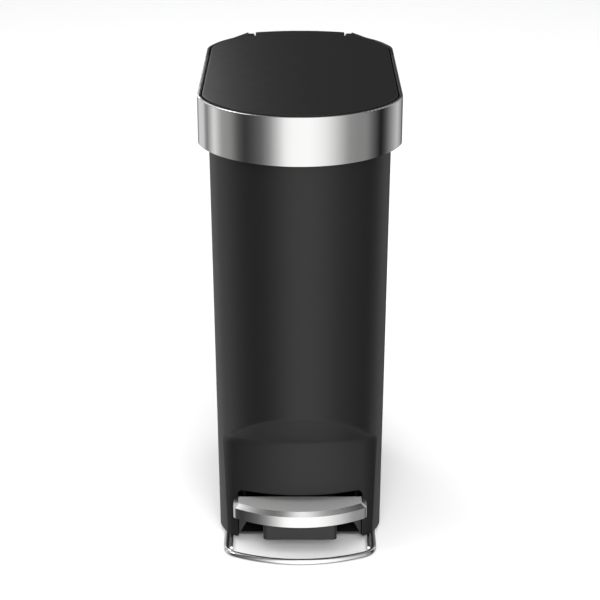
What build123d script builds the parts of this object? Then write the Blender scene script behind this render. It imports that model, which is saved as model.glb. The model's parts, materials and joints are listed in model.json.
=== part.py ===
from build123d import *
import math
import os

# Pedal trash can: a slim step bin with bowed ends, a steel rim band, a flat lid,
# a steel-faced pedal in a toe recess and a wire foot.
# Millimetres. Origin on the floor under the middle, +X right, +Y back, +Z up.

# ---- overall plan: straight sides, both ends bowed --------------------------------
HALF_WIDTH = 133.0
HALF_DEPTH = 238.0
BOW_RADIUS = 137.0
CORNER_RADIUS = 60.0
BOW_CENTRE = HALF_DEPTH - BOW_RADIUS

# ---- heights ---------------------------------------------------------------------
BODY_BOTTOM = 8.0
BODY_TOP = 606.0
BAND_BOTTOM = 573.0
BAND_TOP = 636.0
LID_TOP = 637.0
BIN_FLOOR = 97.0
WALL = 3.0

# ---- body shell ------------------------------------------------------------------
BODY_INSET_LOW = 19.0
BODY_INSET_HIGH = 13.7
KICK_HALF = 113.0
KICK_FRONT = -188.0
KICK_BOW = 222.0
KICK_CORNER = 40.0
KICK_END_Y = -153.0
CREASE_Z = 160.0
CREASE_RADIUS = 24.0
FLARE_SLOPE = 0.578
FLARE_HEIGHT = 200.0
ARCH_ROUND = 5.0
OPENING_HALF = 87.0
OPENING_TOP = 83.0
OPENING_CORNER = 9.0
POST_PLACES = [(82, -90), (82, 40), (40, 184)]
POST_RADIUS = 5.0
PLATE_TOP = BODY_BOTTOM + WALL
PLATE_GAP = 0.3
SEAT_GAP = 0.1

# ---- band and rim ----------------------------------------------------------------
SHEET = 0.8
HEM_WIDTH = 4.5
HEM_DEPTH = 10.0
BAND_END_Y = 88.0
BAND_GAP = 1.2
DECK_BOTTOM = 612.0
DECK_TOP = 616.0
THROAT_INSET = 20.5
THROAT_WALL = 2.6
THROAT_BOTTOM = 592.0

BARREL_CUT_HALF = 80.5
BRIDGE_HALF = 46.0
BRIDGE_FRONT = 180.0
COLLAR_WALL = 4.2
COLLAR_FLANGE = 3.5
COLLAR_SCREW_YS = (100, 118)
COLLAR_SCREW_Z = 590.0

# ---- hinge -----------------------------------------------------------------------
HINGE_Y = 222.0
HINGE_Z = 628.0
HINGE_PIN_RADIUS = 2.0
RUNNING_GAP = 0.06
RIM_BARREL_HALF = 38.0
RIM_BARREL_RADIUS = 4.2
LID_BARREL_START = 42.0
TONGUE_HALF = 66.0
BARREL_RADIUS = 8.0
EAR_START = 69.0
EAR_END = 78.0

# ---- lid -------------------------------------------------------------------------
LID_INSET = 6.3
LID_PLATE = 3.6
LID_SKIRT_BOTTOM = 621.0
LID_REAR_CUT = 205.0
LID_SCREW_PLACES = [(-85, -120), (85, -120), (-85, 125), (85, 125), (0, 20)]

# ---- pedal and lever -------------------------------------------------------------
PIVOT_Y = -40.0
PIVOT_Z = 40.0
PEDAL_HALF = 92.5
PEDAL_FRONT = -222.0
PEDAL_REAR = -172.0
PEDAL_BOW = 165.0
PEDAL_TOP = 72.0
PEDAL_BEVEL_BACK = 7.0
PEDAL_BEVEL_DOWN = 5.0
PEDAL_BOTTOM = 51.0
PEDAL_CORNER = 8.0
PEDAL_SHEET = 1.2
ARM_HALF = 51.0
ARM_BOTTOM = 24.0
ARM_REAR = -150.0
LEVER_FRONT = -190.0
LEVER_REAR = 212.0
PIN_RADIUS = 3.0
PEDAL_SCREW_YS = (-180, -160)
LEVER_HALF = 18.0
LEVER_BOTTOM = 32.0
LEVER_TOP = 48.0
LEVER_SHEET = 2.0

# ---- lift rod and damper ---------------------------------------------------------
ROD_Y = 198.0
ROD_RADIUS = 3.0
ROD_TOP = 619.5
ROD_REST = 51.8
CHANNEL_FRONT = 187.0
CHANNEL_HALF = 42.0
CHANNEL_WALL = 2.5
CHANNEL_TOP = 589.0
CHANNEL_SCREW_X = 33.0
CHANNEL_SCREW_ZS = (330, 545)
DAMPER_X = 24.0
DAMPER_Y = 203.0
DAMPER_BOTTOM = 140.0
DAMPER_TOP = 232.0
DAMPER_RADIUS = 8.0
DAMPER_BORE = 6.6
ARM_Z = 262.0
GUIDE_ZS = (104, 566)

# ---- wire foot -------------------------------------------------------------------
WIRE_RADIUS = 4.0
WIRE_HALF = 102.5
WIRE_FRONT = -233.0
WIRE_BOW = 211.0
WIRE_CORNER = 22.0
WIRE_REAR = 60.0
WIRE_TURN = 10.0
WIRE_END_Z = 30.0
BRACE_RADIUS = 2.2
BRACE_X = 95.9
REAR_FOOT_PLACE = (70, 160)

os.makedirs("parts", exist_ok=True)


def save(name, shape):
    """Write one node's solids."""
    solids = shape.solids()
    part = solids[0] if len(solids) == 1 else Compound(children=list(solids))
    export_step(part, f"parts/{name}.step")


def block(x0, x1, y0, y1, z0, z1):
    """Box between two corners."""
    size = Box(x1 - x0, y1 - y0, z1 - z0)
    return Pos((x0 + x1) / 2, (y0 + y1) / 2, (z0 + z1) / 2) * size


def rod_z(x, y, radius, z0, z1):
    """Round bar along Z."""
    return Pos(x, y, (z0 + z1) / 2) * Cylinder(radius, z1 - z0)


def rod_x(y, z, radius, x0, x1):
    """Round bar along X."""
    return Pos((x0 + x1) / 2, y, z) * Rot(0, 90, 0) * Cylinder(radius, x1 - x0)


def rod_y(x, z, radius, y0, y1):
    """Round bar along Y."""
    return Pos(x, (y0 + y1) / 2, z) * Rot(90, 0, 0) * Cylinder(radius, y1 - y0)


def both_sides(shape):
    """The shape and its mirror image in X."""
    return shape + mirror(shape, Plane.YZ)


def join(shapes):
    """Union of several shapes."""
    total = shapes[0]
    for shape in shapes[1:]:
        total = total + shape
    return total


def end_points(half_width, bow_radius, corner_radius, bow_centre, side):
    """Tangent points of one bowed end on the +X side; side is -1 in front, +1 behind."""
    inner = bow_radius - corner_radius
    reach = math.sqrt(inner**2 - (half_width - corner_radius)**2)
    centre = Vector(half_width - corner_radius, bow_centre + side * reach)
    outward = Vector((half_width - corner_radius) / inner, side * reach / inner)
    middle = (outward + Vector(1, 0)).normalized()
    side_point = Vector(half_width, centre.Y)
    bow_point = Vector(0, bow_centre) + outward * bow_radius
    return side_point, centre + middle * corner_radius, bow_point


def flip(point):
    """The point's mirror image in X."""
    return Vector(-point.X, point.Y, point.Z)


def plan(inset):
    """Face of the bin's plan, moved in from the band's outside by the inset."""
    sizes = (HALF_WIDTH - inset, BOW_RADIUS - inset, CORNER_RADIUS - inset)
    front = end_points(*sizes, -BOW_CENTRE, -1)
    back = end_points(*sizes, BOW_CENTRE, 1)
    tip = HALF_DEPTH - inset
    edges = [
        Line(front[0], back[0]),
        ThreePointArc(*back),
        ThreePointArc(back[2], (0, tip), flip(back[2])),
        ThreePointArc(flip(back[2]), flip(back[1]), flip(back[0])),
        Line(flip(back[0]), flip(front[0])),
        ThreePointArc(flip(front[0]), flip(front[1]), flip(front[2])),
        ThreePointArc(flip(front[2]), (0, -tip), front[2]),
        ThreePointArc(front[2], front[1], front[0]),
    ]
    return make_face(edges)


def slab(inset, z0, z1):
    """Upright slice of the plan."""
    return Pos(0, 0, z0) * extrude(plan(inset), amount=z1 - z0, dir=(0, 0, 1))


def ring(outer_inset, inner_inset, z0, z1):
    """Upright ring between two insets."""
    return slab(outer_inset, z0, z1) - slab(inner_inset, z0 - 1, z1 + 1)


def body_inset(z):
    """The shell's outside at height z."""
    share = (z - BODY_BOTTOM) / (BODY_TOP - BODY_BOTTOM)
    return BODY_INSET_LOW + (BODY_INSET_HIGH - BODY_INSET_LOW) * share


def kick_plan(inset):
    """Plan of the recess's back face: a bowed front with rounded corners, straight sides behind."""
    sizes = (KICK_HALF - inset, KICK_BOW - inset, KICK_CORNER - inset)
    front = end_points(*sizes, KICK_FRONT + KICK_BOW, -1)
    rear = Vector(KICK_HALF - inset, HALF_DEPTH)
    edges = [
        Line(rear, front[0]),
        ThreePointArc(*front),
        ThreePointArc(front[2], (0, KICK_FRONT + inset), flip(front[2])),
        ThreePointArc(flip(front[2]), flip(front[1]), flip(front[0])),
        Line(flip(front[0]), flip(rear)),
        Line(flip(rear), rear),
    ]
    return make_face(edges)


def recess_limit(offset):
    """Everything behind the toe recess: an upright face, a soft crease and a flare above it."""
    crease = Pos(0, 0, CREASE_Z) * kick_plan(offset)
    growth = FLARE_SLOPE * FLARE_HEIGHT
    upright = Pos(0, 0, -20) * extrude(kick_plan(offset), amount=CREASE_Z + 20, dir=(0, 0, 1))
    flare = loft([crease, Pos(0, 0, CREASE_Z + FLARE_HEIGHT) * kick_plan(offset - growth)], ruled=True)
    front = upright + flare
    crease_edges = front.edges().filter_by_position(Axis.Z, CREASE_Z - 0.1, CREASE_Z + 0.1)
    crease_edges = crease_edges.filter_by(lambda e: e.center().Y < HALF_DEPTH - 1)
    front = fillet(crease_edges, CREASE_RADIUS + offset)
    reach = HALF_WIDTH + 20
    behind_corners = block(-reach, reach, KICK_END_Y, HALF_DEPTH + 20, -20, BODY_TOP + 20)
    above = block(-reach, reach, -HALF_DEPTH - 20, HALF_DEPTH + 20, CREASE_Z + FLARE_HEIGHT, BODY_TOP + 20)
    return front + behind_corners + above


def body_solid(offset, z0, z1):
    """The shell's outer form, moved in by the offset, between two heights."""
    low = Pos(0, 0, z0) * plan(body_inset(z0) + offset)
    high = Pos(0, 0, z1) * plan(body_inset(z1) + offset)
    return loft([low, high], ruled=True) & recess_limit(offset)


def collar_screws():
    """Screws from inside the shell, along X, into bosses of the collar."""
    seat = HALF_WIDTH - body_inset(COLLAR_SCREW_Z) - WALL
    screws = [rod_x(y, COLLAR_SCREW_Z, 4.0, seat - 2.4, seat)
              + rod_x(y, COLLAR_SCREW_Z, 2.0, seat, seat + 10) for y in COLLAR_SCREW_YS]
    return both_sides(join(screws))


def channel_screws():
    """Screws along Y through the channel's front into bosses on the shell."""
    screws = [rod_y(CHANNEL_SCREW_X, z, 3.8, CHANNEL_FRONT - 2.0, CHANNEL_FRONT)
              + rod_y(CHANNEL_SCREW_X, z, 1.8, CHANNEL_FRONT, CHANNEL_FRONT + 16)
              for z in CHANNEL_SCREW_ZS]
    return both_sides(join(screws))


def base_screws():
    """Screws from below through the base plate into the shell's posts."""
    screws = [rod_z(x, y, 3.6, BODY_BOTTOM - 2.2, BODY_BOTTOM) + rod_z(x, y, 1.7, BODY_BOTTOM, 24)
              for x, y in POST_PLACES]
    return both_sides(join(screws))


def round_arch(body):
    """Body with the edge between its bowed front and the flare rounded."""
    edges = body.edges().filter_by_position(Axis.Z, CREASE_Z, CREASE_Z + 80)
    edges = edges.filter_by(lambda e: e.center().Y < KICK_FRONT / 2 and e.length > 20)
    return fillet(edges.filter_by(lambda e: e.bounding_box().size.Z > 3), ARCH_ROUND)


def make_body_shell():
    """Walls of the bin, open above and below, with the pedal's opening and the channel's bosses."""
    outer = round_arch(body_solid(0, BODY_BOTTOM, BODY_TOP))
    shell = outer - body_solid(WALL, BODY_BOTTOM - 1, BODY_TOP + 1)
    opening = block(-OPENING_HALF, OPENING_HALF, -HALF_DEPTH, -100, 0, OPENING_TOP)
    shell -= fillet(opening.edges().filter_by(Axis.Y).group_by(Axis.Z)[-1], OPENING_CORNER)
    bosses = [both_sides(rod_y(CHANNEL_SCREW_X, z, 5.0, CHANNEL_FRONT + CHANNEL_WALL, HALF_DEPTH)) & outer
              for z in CHANNEL_SCREW_ZS]
    return join([shell] + bosses) - channel_screws() - collar_screws()


def make_bin_floor():
    """Floor of the bin space, with posts down to the base plate and a hole for the rod."""
    top = BIN_FLOOR + WALL
    floor = body_solid(WALL + SEAT_GAP, BIN_FLOOR, top)
    posts = [both_sides(rod_z(x, y, POST_RADIUS, PLATE_TOP, BIN_FLOOR + 1)) for x, y in POST_PLACES]
    floor = join([floor] + posts)
    return floor - rod_z(0, ROD_Y, ROD_RADIUS + 1.5, BIN_FLOOR - 1, top + 1) - base_screws()


def make_base_plate():
    """Flat cover under the bay, with a slanted cheek at each side of the pedal opening."""
    plate = body_solid(WALL + PLATE_GAP, BODY_BOTTOM, PLATE_TOP)
    plate -= block(1 - OPENING_HALF, OPENING_HALF - 1, -HALF_DEPTH, -163, 0, 20)
    outline = Polyline((86, 8), (86, 46), (65, 46), (75, 28), close=True)
    cheek = Pos(0, -146, 0) * extrude(Plane.XZ * make_face(outline), amount=18)
    plate += both_sides(cheek)
    return plate - base_screws() - make_foot_loop() - make_rear_feet() - make_bracket_rivets()


def make_foot_loop():
    """One bent rod: a bowed front on the floor, straight sides, ends turned up into the base."""
    side, corner, bow = end_points(WIRE_HALF, WIRE_BOW, WIRE_CORNER, WIRE_FRONT + WIRE_BOW, -1)
    ends = []
    for sign in (1, -1):
        x = sign * WIRE_HALF
        top = Vector(x, WIRE_REAR, WIRE_END_Z - WIRE_RADIUS)
        low = Vector(x, WIRE_REAR, WIRE_TURN)
        flat = Vector(x, WIRE_REAR - WIRE_TURN, 0)
        half = WIRE_TURN * (1 - math.sqrt(0.5))
        middle = Vector(x, WIRE_REAR - half, half)
        ends.append([Line(top, low), ThreePointArc(low, middle, flat), flat])
    right, left = ends
    edges = right[:2] + [
        Line(right[2], side),
        ThreePointArc(side, corner, bow),
        ThreePointArc(bow, (0, WIRE_FRONT), flip(bow)),
        ThreePointArc(flip(bow), flip(corner), flip(side)),
        Line(flip(side), left[2]),
    ] + left[1::-1]
    path = Pos(0, 0, WIRE_RADIUS) * Wire(edges)
    return sweep(Plane(origin=path @ 0, z_dir=path % 0) * Circle(WIRE_RADIUS), path=path)


def make_foot_nuts():
    """Push-on nuts that hold the rod's turned-up ends above the base plate."""
    nut = rod_z(WIRE_HALF, WIRE_REAR, 7.5, PLATE_TOP, PLATE_TOP + 2)
    return both_sides(nut) - make_foot_loop()


def make_foot_braces():
    """Straight rods welded inside the loop's corners."""
    return both_sides(rod_y(BRACE_X, WIRE_RADIUS, BRACE_RADIUS, -195.5, 30))


def make_rear_feet():
    """Rubber feet with stems pushed into the base plate."""
    x, y = REAR_FOOT_PLACE
    foot = rod_z(x, y, 10, 0, BODY_BOTTOM) + rod_z(x, y, 3, BODY_BOTTOM, PLATE_TOP + 2)
    return both_sides(foot)


def make_pedal_bracket():
    """Steel bracket: a flange on the base plate and two ears with the pin's holes."""
    top = PIVOT_Z + 8
    ear_outline = Polyline((PIVOT_Y - 14, PLATE_TOP), (PIVOT_Y - 7, top), (PIVOT_Y + 7, top),
                           (PIVOT_Y + 14, PLATE_TOP), close=True)
    ear = Pos(LEVER_HALF + 2, 0, 0) * extrude(Plane.YZ * make_face(ear_outline), amount=2.5)
    flange = block(-36, 36, PIVOT_Y - 14, PIVOT_Y + 14, PLATE_TOP, PLATE_TOP + 2)
    return flange + both_sides(ear) - make_pedal_pin() - make_bracket_rivets()


def make_bracket_rivets():
    """Rivets through the bracket's flange and the base plate."""
    top = PLATE_TOP + 2
    rivets = [rod_z(29, PIVOT_Y + dy, 2, BODY_BOTTOM, top)
              + rod_z(29, PIVOT_Y + dy, 3.6, top, top + 1.4)
              + rod_z(29, PIVOT_Y + dy, 3.6, BODY_BOTTOM - 1.4, BODY_BOTTOM) for dy in (-8, 8)]
    return both_sides(join(rivets))


def make_pedal_pin():
    """Pivot pin of the pedal's lever."""
    return rod_x(PIVOT_Y, PIVOT_Z, PIN_RADIUS, -27, 27)


def make_pin_clips():
    """Rings in the pin's ends."""
    return both_sides(rod_x(PIVOT_Y, PIVOT_Z, 5.5, 24, 25.2)) - make_pedal_pin()


def make_lever_rest():
    """Rubber block on the base plate under the lever's rear end."""
    return block(-12, 12, ROD_Y - 10, ROD_Y + 8, PLATE_TOP, LEVER_BOTTOM - 0.35)


def make_rod_guides():
    """Two plain bearings on the channel's inner face."""
    bore = rod_z(0, ROD_Y, ROD_RADIUS + RUNNING_GAP, 0, BODY_TOP)
    front = CHANNEL_FRONT + CHANNEL_WALL
    guides = [block(-10, 10, front, ROD_Y + 8, z, z + 8) for z in GUIDE_ZS]
    return join(guides) - bore


def make_rear_channel():
    """Cover over the rod and the damper, fitted against the shell's back wall."""
    inner = CHANNEL_HALF - CHANNEL_WALL
    low = BIN_FLOOR + WALL
    roof = CHANNEL_TOP - CHANNEL_WALL
    cover = block(-CHANNEL_HALF, CHANNEL_HALF, CHANNEL_FRONT, HALF_DEPTH, low, CHANNEL_TOP)
    cover -= block(-inner, inner, CHANNEL_FRONT + CHANNEL_WALL, HALF_DEPTH, low - 1, roof)
    cover = cover & body_solid(WALL + SEAT_GAP, low, BODY_TOP)
    cover -= rod_z(0, ROD_Y, ROD_RADIUS + 1.5, CHANNEL_TOP - 5, CHANNEL_TOP + 5)
    return cover - channel_screws()


def make_damper_mount():
    """Post under the damper."""
    half = DAMPER_RADIUS - 1
    return block(DAMPER_X - half, DAMPER_X + half, DAMPER_Y - half, DAMPER_Y + half,
                 BIN_FLOOR + WALL, DAMPER_BOTTOM)


def make_damper_body():
    """Closed cylinder with a hole for the piston's rod in its cap."""
    body = rod_z(DAMPER_X, DAMPER_Y, DAMPER_RADIUS, DAMPER_BOTTOM, DAMPER_TOP)
    body -= rod_z(DAMPER_X, DAMPER_Y, DAMPER_BORE, DAMPER_BOTTOM + 3, DAMPER_TOP - 4)
    return body - rod_z(DAMPER_X, DAMPER_Y, 2 + RUNNING_GAP, DAMPER_TOP - 5, DAMPER_TOP + 1)


def make_damper_piston():
    """Disc inside the damper and its rod up to the arm."""
    disc = rod_z(DAMPER_X, DAMPER_Y, DAMPER_BORE - RUNNING_GAP, DAMPER_BOTTOM + 30, DAMPER_BOTTOM + 36)
    return disc + rod_z(DAMPER_X, DAMPER_Y, 2, DAMPER_BOTTOM + 36, ARM_Z + 4)


def make_push_rod():
    """Rod that carries the pedal's push up to the lid."""
    return rod_z(0, ROD_Y, ROD_RADIUS, ROD_REST + 4, ROD_TOP - 7)


def make_rod_foot():
    """Nylon foot on the rod's lower end."""
    return rod_z(0, ROD_Y, 8, ROD_REST, ROD_REST + 10) - make_push_rod()


def make_rod_head():
    """Nylon tip with a rounded end."""
    head = rod_z(0, ROD_Y, 4, ROD_TOP - 14, ROD_TOP)
    head = fillet(head.edges().sort_by(Axis.Z)[-1:], 1.5)
    return head - make_push_rod()


def make_rod_arm():
    """Cross piece from the rod to the damper."""
    arm = block(-6, DAMPER_X + 5, ROD_Y - 5, ROD_Y + 10, ARM_Z, ARM_Z + 8)
    return arm - make_push_rod() - make_damper_piston()


def behind(y):
    """The half space behind a plane across the bin."""
    return block(-HALF_WIDTH - 5, HALF_WIDTH + 5, y, HALF_DEPTH + 5, 0, LID_TOP + 60)


def make_rear_collar():
    """Wall round the back with a lower flange, screw bosses and the hinge ears."""
    wall = ring(0, COLLAR_WALL, BAND_BOTTOM, BAND_TOP)
    wall = fillet(wall.edges().group_by(Axis.Z)[-1], 1.3)
    collar = wall + ring(COLLAR_FLANGE, body_inset(BAND_BOTTOM) - 0.3,
                         BAND_BOTTOM, BAND_BOTTOM + COLLAR_FLANGE)
    collar = collar & behind(BAND_END_Y + BAND_GAP)
    boss_start = HALF_WIDTH - body_inset(COLLAR_SCREW_Z) + 0.1
    collar += both_sides(join([rod_x(y, COLLAR_SCREW_Z, 5.5, boss_start, HALF_WIDTH - 2)
                               for y in COLLAR_SCREW_YS]))
    web = Polyline((213, 596), (217.5, 596), (229.5, 618), (HINGE_Y + BARREL_RADIUS, HINGE_Z),
                   (214, HINGE_Z), (213, 610), close=True)
    ear = Pos(EAR_START, 0, 0) * extrude(Plane.YZ * make_face(web), amount=EAR_END - EAR_START)
    ear += rod_x(HINGE_Y, HINGE_Z, BARREL_RADIUS, EAR_START, EAR_END)
    fairing = Polyline((77, 211), (77, 229.5), (EAR_END, 229.5), (97, 197), close=True)
    ear += Pos(0, 0, BODY_TOP - 2) * extrude(make_face(fairing), amount=BAND_TOP - BODY_TOP + 2,
                                             dir=(0, 0, 1))
    notch_half = (TONGUE_HALF + EAR_START) / 2
    collar -= block(-notch_half, notch_half, 190, HALF_DEPTH + 5, BODY_TOP, LID_TOP + 5)
    return collar + both_sides(ear) - make_hinge_pin() - collar_screws()


def make_hinge_pin():
    """Long pin through the collar's ears, the lid's barrels and the rim's barrel."""
    return rod_x(HINGE_Y, HINGE_Z, HINGE_PIN_RADIUS, -EAR_END - 1, EAR_END + 1)


def make_rim_pads():
    """Rubber pads on the shell's top edge."""
    x = HALF_WIDTH - BODY_INSET_HIGH - WALL / 2
    y = HALF_DEPTH - BODY_INSET_HIGH - WALL / 2
    top = DECK_BOTTOM - 0.35
    sides = join([block(x - 1.1, x + 1.1, place - 8, place + 8, BODY_TOP, top) for place in (-90, 60)])
    return both_sides(sides) + block(-8, 8, -y - 1.1, -y + 1.1, BODY_TOP, top)


def make_rim_frame():
    """Ring under the lid: outer skirt inside the band, deck, throat and hinge barrel."""
    ahead = block(-HALF_WIDTH, HALF_WIDTH, -HALF_DEPTH, BAND_END_Y - 0.3, 500, 700)
    skirt = ring(1.0, 3.5, BAND_BOTTOM + 1, BAND_TOP - 1.4) + ring(3.4, 7, DECK_BOTTOM, DECK_TOP)
    throat_inner = THROAT_INSET + THROAT_WALL
    deck = ring(6.5, throat_inner, DECK_BOTTOM, DECK_TOP)
    throat = ring(THROAT_INSET, throat_inner, THROAT_BOTTOM, DECK_TOP)
    throat -= block(-BRIDGE_HALF, BRIDGE_HALF, BRIDGE_FRONT + 2, HALF_DEPTH, 580, DECK_BOTTOM)
    bridge = block(-BRIDGE_HALF, BRIDGE_HALF, BRIDGE_FRONT, 206, DECK_BOTTOM, DECK_TOP)
    bridge += block(-BRIDGE_HALF, BRIDGE_HALF, BRIDGE_FRONT, BRIDGE_FRONT + THROAT_WALL,
                    THROAT_BOTTOM, DECK_BOTTOM)
    bridge += both_sides(block(BRIDGE_HALF - THROAT_WALL, BRIDGE_HALF, BRIDGE_FRONT, 206,
                               THROAT_BOTTOM, DECK_BOTTOM))
    frame = (skirt & ahead) + deck + throat + bridge
    frame -= block(-BARREL_CUT_HALF, BARREL_CUT_HALF, 210, HALF_DEPTH, 580, 650)
    frame -= block(-12, 12, CHANNEL_FRONT, 211, 580, 650)
    arm_outline = Polyline((196, DECK_BOTTOM), (196, DECK_TOP), (219, 631), (225, 625),
                           (209.9, DECK_BOTTOM), close=True)
    arm = Pos(14, 0, 0) * extrude(Plane.YZ * make_face(arm_outline), amount=RIM_BARREL_HALF - 14)
    frame += both_sides(arm) + rod_x(HINGE_Y, HINGE_Z, RIM_BARREL_RADIUS, -RIM_BARREL_HALF, RIM_BARREL_HALF)
    return frame - rod_x(HINGE_Y, HINGE_Z, HINGE_PIN_RADIUS + RUNNING_GAP, -TONGUE_HALF, TONGUE_HALF)


def make_steel_band():
    """Sheet band with a rolled hem round the front and the sides."""
    band = ring(0, HEM_WIDTH, BAND_BOTTOM, BAND_TOP)
    band = fillet(band.edges().group_by(Axis.Z)[-1], 1.4)
    hollow = ring(SHEET, HEM_WIDTH - SHEET, BAND_BOTTOM - 1, BAND_TOP - SHEET)
    hollow += ring(SHEET, HEM_WIDTH + 1, BAND_BOTTOM - 1, BAND_TOP - HEM_DEPTH)
    return band - hollow - behind(BAND_END_Y)


def lid_screws():
    """Screws from below through the liner into the lid's posts."""
    return join([rod_z(x, y, 3.5, LID_SKIRT_BOTTOM - 2, LID_SKIRT_BOTTOM)
                 + rod_z(x, y, 1.6, LID_SKIRT_BOTTOM, LID_TOP - 6)
                 for x, y in LID_SCREW_PLACES])


def make_lid_shell():
    """Flat lid with a bowed tongue over the hinge, two barrels, a skirt and screw posts."""
    under = LID_TOP - LID_PLATE
    plate = plan(LID_INSET) - block(-90, 90, LID_REAR_CUT, 250, -1, 1)
    bow = ThreePointArc((TONGUE_HALF, 228), (0, HALF_DEPTH), (-TONGUE_HALF, 228))
    tongue = make_face([bow, Polyline((-TONGUE_HALF, 228), (-TONGUE_HALF, 198), (TONGUE_HALF, 198),
                                      (TONGUE_HALF, 228))])
    top = Pos(0, 0, under) * extrude(plate.faces()[0] + tongue, amount=LID_PLATE, dir=(0, 0, 1))
    top = fillet(top.edges().group_by(Axis.Z)[-1], 1.4)
    barrel = rod_x(HINGE_Y, HINGE_Z, BARREL_RADIUS, LID_BARREL_START, TONGUE_HALF)
    skirt = ring(11, 13.6, LID_SKIRT_BOTTOM, under + 1) - behind(188)
    posts = [rod_z(x, y, 4.5, LID_SKIRT_BOTTOM + 2, under + 1) for x, y in LID_SCREW_PLACES]
    lid = join([top, both_sides(barrel), skirt] + posts)
    return lid - rod_x(HINGE_Y, HINGE_Z, 3.4, -80, 80) - lid_screws()


def make_lid_liner():
    """Inner panel of the lid."""
    return slab(14, LID_SKIRT_BOTTOM, LID_SKIRT_BOTTOM + 2) - behind(186) - lid_screws()


def make_lid_bumpers():
    """Rubber pads under the lid's skirt."""
    x = HALF_WIDTH - 12.3
    low = DECK_TOP + 0.35
    pads = [rod_z(x, y, 4, low, LID_SKIRT_BOTTOM) for y in (-100, 70)]
    pads.append(rod_z(40, -HALF_DEPTH + 18, 4, low, LID_SKIRT_BOTTOM))
    return both_sides(join(pads))


def make_lift_lug():
    """Nylon lug under the lid, over the rod's head."""
    return block(-7, 7, 192, 204, ROD_TOP + 0.5, LID_TOP - LID_PLATE)


def make_hinge_bushes():
    """Flanged bushes in the lid's barrels."""
    bush = rod_x(HINGE_Y, HINGE_Z, 3.4, LID_BARREL_START, TONGUE_HALF)
    bush += rod_x(HINGE_Y, HINGE_Z, 5.2, LID_BARREL_START - 1, LID_BARREL_START)
    bush += rod_x(HINGE_Y, HINGE_Z, 5.2, TONGUE_HALF, TONGUE_HALF + 1)
    return both_sides(bush - rod_x(HINGE_Y, HINGE_Z, HINGE_PIN_RADIUS + RUNNING_GAP, 0, 80))


def pedal_plan(inset):
    """Bowed front edge, straight back edge, rounded front corners."""
    centre = PEDAL_FRONT + PEDAL_BOW
    half = PEDAL_HALF - inset
    radius = PEDAL_BOW - inset
    corner = centre - math.sqrt(radius**2 - half**2)
    edges = [
        Line((half, PEDAL_REAR), (half, corner)),
        ThreePointArc((half, corner), (0, centre - radius), (-half, corner)),
        Line((-half, corner), (-half, PEDAL_REAR)),
        Line((-half, PEDAL_REAR), (half, PEDAL_REAR)),
    ]
    face = make_face(edges)
    front = face.vertices().filter_by(lambda v: v.Y < PEDAL_REAR - 1)
    return fillet(front, PEDAL_CORNER - inset / 2)


def pedal_form(offset, bottom):
    """Form of the pedal cover: upright sides with a bevel above."""
    shoulder = PEDAL_TOP - PEDAL_BEVEL_DOWN - offset / 2
    sides = Pos(0, 0, bottom) * extrude(pedal_plan(offset), amount=shoulder - bottom, dir=(0, 0, 1))
    bevel = loft([Pos(0, 0, shoulder) * pedal_plan(offset),
                  Pos(0, 0, PEDAL_TOP - offset) * pedal_plan(PEDAL_BEVEL_BACK + offset)], ruled=True)
    return sides + bevel


def make_pedal_cover():
    """Pressed steel face of the pedal, open below and behind."""
    return pedal_form(0, PEDAL_BOTTOM) - pedal_form(PEDAL_SHEET, PEDAL_BOTTOM - 1)


def make_pedal_core():
    """Carrier that fills the cover, and the arm block that goes back through the opening."""
    arm = block(-ARM_HALF, ARM_HALF, PEDAL_FRONT + 14, PEDAL_REAR, ARM_BOTTOM, PEDAL_BOTTOM + 5)
    arm = fillet(arm.edges().filter_by(Axis.Z).sort_by(Axis.Y)[:2], 6)
    arm += block(-ARM_HALF, ARM_HALF, PEDAL_REAR, ARM_REAR, ARM_BOTTOM, PEDAL_TOP - 6)
    core = pedal_form(PEDAL_SHEET, PEDAL_BOTTOM + 1.5) + arm
    core -= block(-LEVER_HALF, LEVER_HALF, LEVER_FRONT, ARM_REAR + 1, ARM_BOTTOM - 4, LEVER_TOP)
    return core - make_pedal_screws()


def make_pedal_screws():
    """Screws up through the lever's web into the core."""
    web = LEVER_TOP - LEVER_SHEET
    return join([rod_z(0, y, 3.6, web - 2.6, web) + rod_z(0, y, 1.8, web, web + 14)
                 for y in PEDAL_SCREW_YS])


def make_pedal_lever():
    """Steel channel, open below."""
    lever = block(-LEVER_HALF, LEVER_HALF, LEVER_FRONT, LEVER_REAR, LEVER_BOTTOM, LEVER_TOP)
    lever = fillet(lever.edges().filter_by(Axis.Y).sort_by(Axis.Z)[-2:], 1.5)
    inner = LEVER_HALF - LEVER_SHEET
    lever -= block(-inner, inner, LEVER_FRONT + LEVER_SHEET, LEVER_REAR - LEVER_SHEET,
                   LEVER_BOTTOM - 1, LEVER_TOP - LEVER_SHEET)
    return lever - rod_x(PIVOT_Y, PIVOT_Z, 5, -20, 20) - make_pedal_screws()


def make_lever_bushes():
    """Flanged bushes in the lever's sides."""
    bush = rod_x(PIVOT_Y, PIVOT_Z, 5, LEVER_HALF - 4, LEVER_HALF)
    bush += rod_x(PIVOT_Y, PIVOT_Z, 6.8, LEVER_HALF, LEVER_HALF + 1.5)
    return both_sides(bush - rod_x(PIVOT_Y, PIVOT_Z, PIN_RADIUS + RUNNING_GAP, 0, 30))


def make_lever_pad():
    """Nylon pad on the lever's rear end, under the rod's foot."""
    return block(-8, 8, ROD_Y - 4, ROD_Y + 4, LEVER_TOP, ROD_REST - 0.8)


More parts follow.
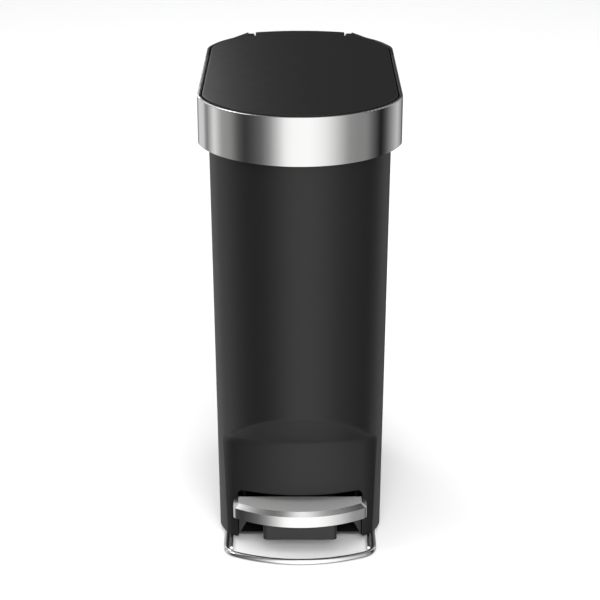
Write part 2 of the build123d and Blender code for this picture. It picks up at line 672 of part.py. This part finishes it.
NODES = {
    "body_shell": make_body_shell, "bin_floor": make_bin_floor,
    "base_plate": make_base_plate, "base_screws": base_screws,
    "foot_loop": make_foot_loop, "foot_nuts": make_foot_nuts, "foot_braces": make_foot_braces,
    "rear_feet": make_rear_feet, "pedal_bracket": make_pedal_bracket,
    "bracket_rivets": make_bracket_rivets, "pedal_pin": make_pedal_pin, "pin_clips": make_pin_clips,
    "lever_rest": make_lever_rest, "rod_guides": make_rod_guides, "rear_channel": make_rear_channel,
    "channel_screws": channel_screws, "damper_mount": make_damper_mount, "damper_body": make_damper_body,
    "rear_collar": make_rear_collar, "collar_screws": collar_screws, "hinge_pin": make_hinge_pin,
    "rim_pads": make_rim_pads, "rim_frame": make_rim_frame, "steel_band": make_steel_band,
    "lid_shell": make_lid_shell, "lid_liner": make_lid_liner, "lid_screws": lid_screws,
    "lid_bumpers": make_lid_bumpers, "lift_lug": make_lift_lug, "hinge_bushes": make_hinge_bushes,
    "pedal_cover": make_pedal_cover, "pedal_core": make_pedal_core, "pedal_lever": make_pedal_lever,
    "pedal_screws": make_pedal_screws, "lever_bushes": make_lever_bushes, "lever_pad": make_lever_pad,
    "push_rod": make_push_rod, "rod_foot": make_rod_foot, "rod_head": make_rod_head,
    "rod_arm": make_rod_arm, "damper_piston": make_damper_piston,
}

for name, make in NODES.items():
    save(name, make())
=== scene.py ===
import json
import math

import bpy
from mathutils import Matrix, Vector

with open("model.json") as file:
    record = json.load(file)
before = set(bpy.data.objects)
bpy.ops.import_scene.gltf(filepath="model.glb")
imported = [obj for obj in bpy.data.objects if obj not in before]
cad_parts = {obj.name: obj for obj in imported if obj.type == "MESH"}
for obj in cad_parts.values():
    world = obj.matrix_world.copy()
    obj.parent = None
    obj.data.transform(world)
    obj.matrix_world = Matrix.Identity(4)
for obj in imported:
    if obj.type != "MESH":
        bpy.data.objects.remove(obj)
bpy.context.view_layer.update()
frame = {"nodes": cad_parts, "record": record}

# A black step bin with a steel band, on a pale floor under soft studio light.
# Metres. Origin on the floor under the middle, +X right, +Y back, +Z up.

# ---- camera: a long lens in front of the bin, looking down at it -------------------------
CAMERA_PLACE = (0.0, -2.173, 1.180)
CAMERA_DOWN = 22.09
CAMERA_LENS = 97.7
SENSOR = 36.0

# ---- textures ----------------------------------------------------------------------------
# A noise texture's values mostly lie between these two.
NOISE_LOW = 0.3
NOISE_HIGH = 0.7
# Brush lines: a stretch on each axis. Level lines on the band, lines along X on the pedal.
LEVEL_LINES = (6.0, 6.0, 5200.0)
CROSS_LINES = (6.0, 5200.0, 5200.0)
LINE_DEPTH = 0.000004
# Steel starts to get duller, and then less metallic, where the normal's Z passes these.
DULL_FROM = 0.75
LESS_METAL_FROM = 0.9

# ---- studio ------------------------------------------------------------------------------
FLOOR_SIZE = 60.0
FLOOR_DARK = (0.93, 0.93, 0.93)
FLOOR_LIGHT = (0.95, 0.95, 0.95)
# Azimuth round the bin in degrees (0 in front, positive to the right) and brightness. The
# steel band mirrors it.
SKY = [
    (-180, 0.04), (-160, 0.25), (-144, 0.85), (-132, 0.85), (-124, 0.20), (-116, 0.60),
    (-108, 1.05), (-95, 0.45), (-82, 0.36), (-71, 0.12), (-62, 0.05), (-52, 0.10),
    (-42, 0.18), (-33, 0.40), (-24, 0.84), (-16, 1.30), (-8, 1.45), (10, 1.48),
    (19, 1.38), (28, 1.22), (37, 0.95), (46, 0.66), (55, 0.40), (66, 0.34),
    (77, 0.33), (87, 0.15), (99, 0.0), (108, 0.10), (116, 0.30), (134, 0.75),
    (150, 0.20), (180, 0.04),
]


def make_camera():
    """The view that the scene is seen from."""
    data = bpy.data.cameras.new("camera")
    data.lens = CAMERA_LENS
    data.sensor_width = SENSOR
    camera = bpy.data.objects.new("camera", data)
    camera.location = CAMERA_PLACE
    camera.rotation_euler = (math.radians(90 - CAMERA_DOWN), 0, 0)
    bpy.context.scene.collection.objects.link(camera)
    bpy.context.scene.camera = camera


# ---- node helpers ------------------------------------------------------------------------
class Nodes:
    """A material's node tree with short calls for the nodes used here."""

    def __init__(self, name):
        self.material = bpy.data.materials.new(name)
        self.material.use_nodes = True
        self.tree = self.material.node_tree
        self.shader = self.tree.nodes["Principled BSDF"]
        coordinates = self.tree.nodes.new("ShaderNodeTexCoord")
        self.place = coordinates.outputs["Object"]
        self.normal = coordinates.outputs["Normal"]

    def link(self, source, target):
        """Join two sockets."""
        self.tree.links.new(source, target)

    def drive(self, socket, source):
        """Link a value to one of the shader's sockets."""
        self.link(source, self.shader.inputs[socket])

    def set(self, socket, value):
        """Give one of the shader's sockets a constant."""
        self.shader.inputs[socket].default_value = value

    def stretched(self, scale):
        """Object coordinates times a scale on each axis."""
        node = self.tree.nodes.new("ShaderNodeMapping")
        node.inputs["Scale"].default_value = scale
        self.link(self.place, node.inputs["Vector"])
        return node.outputs["Vector"]

    def noise(self, scale, detail=3.0, rough=0.5, vector=None):
        """Noise over the object, or over the given coordinates."""
        node = self.tree.nodes.new("ShaderNodeTexNoise")
        node.inputs["Scale"].default_value = scale
        node.inputs["Detail"].default_value = detail
        node.inputs["Roughness"].default_value = rough
        self.link(vector or self.place, node.inputs["Vector"])
        return node.outputs["Fac"]

    def cells(self, scale):
        """Distance to the nearest of many scattered points."""
        node = self.tree.nodes.new("ShaderNodeTexVoronoi")
        node.inputs["Scale"].default_value = scale
        self.link(self.place, node.inputs["Vector"])
        return node.outputs["Distance"]

    def spread(self, value, low, high, start=0.0, end=1.0):
        """Map the range from start to end onto the range from low to high."""
        node = self.tree.nodes.new("ShaderNodeMapRange")
        node.inputs["From Min"].default_value = start
        node.inputs["From Max"].default_value = end
        node.inputs["To Min"].default_value = low
        node.inputs["To Max"].default_value = high
        self.link(value, node.inputs["Value"])
        return node.outputs["Result"]

    def drift(self, value, low, high):
        """Map a noise onto the range from low to high."""
        return self.spread(value, low, high, NOISE_LOW, NOISE_HIGH)

    def blend(self, factor, first, second):
        """Colour between two colours by a factor."""
        node = self.tree.nodes.new("ShaderNodeMix")
        node.data_type = "RGBA"
        node.inputs["A"].default_value = (*first, 1)
        node.inputs["B"].default_value = (*second, 1)
        self.link(factor, node.inputs["Factor"])
        return node.outputs["Result"]

    def add(self, first, second):
        """Sum of two values."""
        node = self.tree.nodes.new("ShaderNodeMath")
        node.operation = "ADD"
        self.link(first, node.inputs[0])
        self.link(second, node.inputs[1])
        return node.outputs[0]

    def bump(self, height, distance, strength=1.0):
        """Bend the surface's normal by a height."""
        node = self.tree.nodes.new("ShaderNodeBump")
        node.inputs["Strength"].default_value = strength
        node.inputs["Distance"].default_value = distance
        self.link(height, node.inputs["Height"])
        self.drive("Normal", node.outputs["Normal"])

    def facing_up(self):
        """The object's own normal along Z: 1 on faces that look up."""
        parts = self.tree.nodes.new("ShaderNodeSeparateXYZ")
        self.link(self.normal, parts.inputs["Vector"])
        return parts.outputs["Z"]


# ---- materials ---------------------------------------------------------------------------
def moulded(name, dark, light, rough, grain, depth, specular=0.5):
    """Moulded plastic: fine spark grain, slight gloss variation and faint cloudiness."""
    cloud_scale = 9.0
    gloss_scale = 60.0
    gloss_drift = 0.012
    m = Nodes(name)
    m.drive("Base Color", m.blend(m.noise(cloud_scale, detail=4.0), dark, light))
    gloss = m.noise(gloss_scale, detail=4.0)
    m.drive("Roughness", m.drift(gloss, rough - gloss_drift, rough + gloss_drift))
    m.set("Specular IOR Level", specular)
    m.bump(m.noise(grain, detail=2.0, rough=0.6), depth)
    return m.material


def brushed(name, lines_scale, base, rough, rough_top, metal_top=1.0):
    """Brushed steel: very fine lines in tone, gloss and height, duller where it faces up."""
    stain_scale = 7.0
    line_tone = 0.3
    line_gloss = 0.02
    m = Nodes(name)
    lines = m.noise(1.0, rough=0.6, vector=m.stretched(lines_scale))
    stain = m.noise(stain_scale)
    tone = m.add(m.spread(lines, -line_tone, line_tone), m.spread(stain, 0.4, 0.6))
    darker = [channel * 0.93 for channel in base]
    lighter = [min(1, channel * 1.05) for channel in base]
    m.drive("Base Color", m.blend(tone, darker, lighter))
    dullness = m.spread(m.facing_up(), rough, rough_top, start=DULL_FROM)
    m.drive("Roughness", m.add(m.drift(lines, -line_gloss, line_gloss), dullness))
    m.drive("Metallic", m.spread(m.facing_up(), 1.0, metal_top, start=LESS_METAL_FROM))
    m.bump(lines, LINE_DEPTH, strength=0.5)
    return m.material


def chrome(name):
    """Bright chrome plating, slightly uneven in tone and gloss."""
    tone_scale = 40.0
    gloss_scale = 180.0
    ripple_scale = 900.0
    ripple_depth = 0.000008
    m = Nodes(name)
    m.drive("Base Color", m.blend(m.noise(tone_scale), (0.70, 0.70, 0.71), (0.82, 0.82, 0.83)))
    m.drive("Roughness", m.drift(m.noise(gloss_scale, detail=4.0), 0.07, 0.16))
    m.set("Metallic", 1.0)
    m.bump(m.noise(ripple_scale, detail=2.0), ripple_depth)
    return m.material


def plated(name):
    """Dull zinc plating with a faint spangle."""
    spangle_scale = 160.0
    gloss_scale = 60.0
    grain_scale = 700.0
    grain_depth = 0.00002
    m = Nodes(name)
    m.drive("Base Color", m.blend(m.cells(spangle_scale), (0.44, 0.45, 0.46), (0.62, 0.62, 0.60)))
    m.drive("Roughness", m.drift(m.noise(gloss_scale, detail=4.0), 0.28, 0.5))
    m.set("Metallic", 1.0)
    m.bump(m.noise(grain_scale), grain_depth)
    return m.material


SLOT_MATERIALS = {
    "black_plastic": moulded(
        "black_plastic_grain", dark=(0.0072, 0.0072, 0.0074), light=(0.0084, 0.0084, 0.0086),
        rough=0.40, grain=2600.0, depth=0.00002, specular=0.34),
    "inner_plastic": moulded(
        "inner_plastic_grain", dark=(0.010, 0.010, 0.0105), light=(0.015, 0.015, 0.0155),
        rough=0.52, grain=1500.0, depth=0.00004),
    "brushed_steel": brushed(
        "brushed_band_steel", LEVEL_LINES, base=(0.66, 0.66, 0.655), rough=0.13, rough_top=0.2),
    "zinc_steel": plated("zinc_plating"),
    "chrome_wire": chrome("chrome_plating"),
    "rubber": moulded(
        "black_rubber", dark=(0.012, 0.012, 0.012), light=(0.022, 0.022, 0.021),
        rough=0.72, grain=900.0, depth=0.00006),
    "nylon": moulded(
        "natural_nylon", dark=(0.60, 0.58, 0.52), light=(0.70, 0.68, 0.62),
        rough=0.42, grain=1200.0, depth=0.00002),
}

# Nodes with a material of their own. The pedal's top is much duller than its face.
NODE_MATERIALS = {
    "pedal_cover": brushed(
        "brushed_pedal_steel", CROSS_LINES, base=(0.72, 0.72, 0.715),
        rough=0.11, rough_top=0.50, metal_top=0.62),
}


def dress_nodes():
    """Every CAD node gets its own material or that of its slot."""
    for part in frame["record"]["subparts"]:
        name = part["node"]
        node = frame["nodes"][name]
        node.data.materials.clear()
        node.data.materials.append(NODE_MATERIALS.get(name, SLOT_MATERIALS[part["material_slot"]]))


# ---- floor, sky and lights ---------------------------------------------------------------
def make_floor():
    """Pale floor that reflections don't see: below the horizon they see the sky instead."""
    bpy.ops.mesh.primitive_plane_add(size=FLOOR_SIZE, location=(0, 0, 0))
    floor = bpy.context.object
    floor.name = "floor"
    m = Nodes("floor_pale")
    m.drive("Base Color", m.blend(m.noise(0.8, detail=2.0), FLOOR_DARK, FLOOR_LIGHT))
    m.set("Roughness", 0.6)
    m.set("Specular IOR Level", 0.2)
    floor.data.materials.append(m.material)
    floor.visible_glossy = False


def make_sky():
    """Soft studio surround: its brightness depends on the azimuth alone."""
    world = bpy.data.worlds.new("studio")
    bpy.context.scene.world = world
    world.use_nodes = True
    tree = world.node_tree
    background = tree.nodes["Background"]
    background.inputs["Color"].default_value = (1, 1, 1, 1)
    place = tree.nodes.new("ShaderNodeTexCoord")
    parts = tree.nodes.new("ShaderNodeSeparateXYZ")
    tree.links.new(place.outputs["Generated"], parts.inputs["Vector"])
    forward = tree.nodes.new("ShaderNodeMath")
    forward.operation = "MULTIPLY"
    forward.inputs[1].default_value = -1.0
    tree.links.new(parts.outputs["Y"], forward.inputs[0])
    azimuth = tree.nodes.new("ShaderNodeMath")
    azimuth.operation = "ARCTAN2"
    tree.links.new(parts.outputs["X"], azimuth.inputs[0])
    tree.links.new(forward.outputs[0], azimuth.inputs[1])
    turn = tree.nodes.new("ShaderNodeMapRange")
    turn.inputs["From Min"].default_value = -math.pi
    turn.inputs["From Max"].default_value = math.pi
    tree.links.new(azimuth.outputs[0], turn.inputs["Value"])
    ramp = tree.nodes.new("ShaderNodeValToRGB")
    stops = ramp.color_ramp
    stops.interpolation = "LINEAR"
    peak = max(level for _, level in SKY)
    while len(stops.elements) < len(SKY):
        stops.elements.new(0.5)
    for stop, (degrees, level) in zip(stops.elements, SKY):
        stop.position = (degrees + 180) / 360
        stop.color = (level / peak, level / peak, level / peak, 1)
    tree.links.new(turn.outputs["Result"], ramp.inputs["Fac"])
    gain = tree.nodes.new("ShaderNodeMath")
    gain.operation = "MULTIPLY"
    gain.inputs[1].default_value = peak
    tree.links.new(ramp.outputs["Color"], gain.inputs[0])
    tree.links.new(gain.outputs[0], background.inputs["Strength"])


def area_light(name, place, size, power, target, glossy=True):
    """Soft box at a place, aimed at a target; it can be hidden from reflections."""
    data = bpy.data.lights.new(name, "AREA")
    data.shape = "RECTANGLE"
    data.size, data.size_y = size
    data.energy = power
    light = bpy.data.objects.new(name, data)
    light.location = place
    light.rotation_euler = (Vector(target) - Vector(place)).to_track_quat("-Z", "Y").to_euler()
    light.visible_glossy = glossy
    bpy.context.scene.collection.objects.link(light)


def make_lights():
    """A key from the left, a sheen on the lid, and two fills that reflections don't see."""
    area_light("key_left", place=(-2.2, -0.6, 2.4), size=(1.2, 1.2), power=14,
               target=(0, 0, 0.3))
    area_light("lid_sheen", place=(-0.36, 0.78, 0.98), size=(0.3, 0.2), power=1.0,
               target=(-0.05, -0.1, 0.64))
    area_light("ceiling", place=(0.0, 1.2, 3.5), size=(6.0, 8.0), power=170,
               target=(0, 1.2, 0), glossy=False)
    area_light("front_fill", place=(0.3, -2.6, 1.5), size=(1.6, 1.0), power=40,
               target=(0, -0.2, 0), glossy=False)


bpy.context.scene.view_settings.view_transform = "Standard"
make_camera()
dress_nodes()
make_floor()
make_sky()
make_lights()
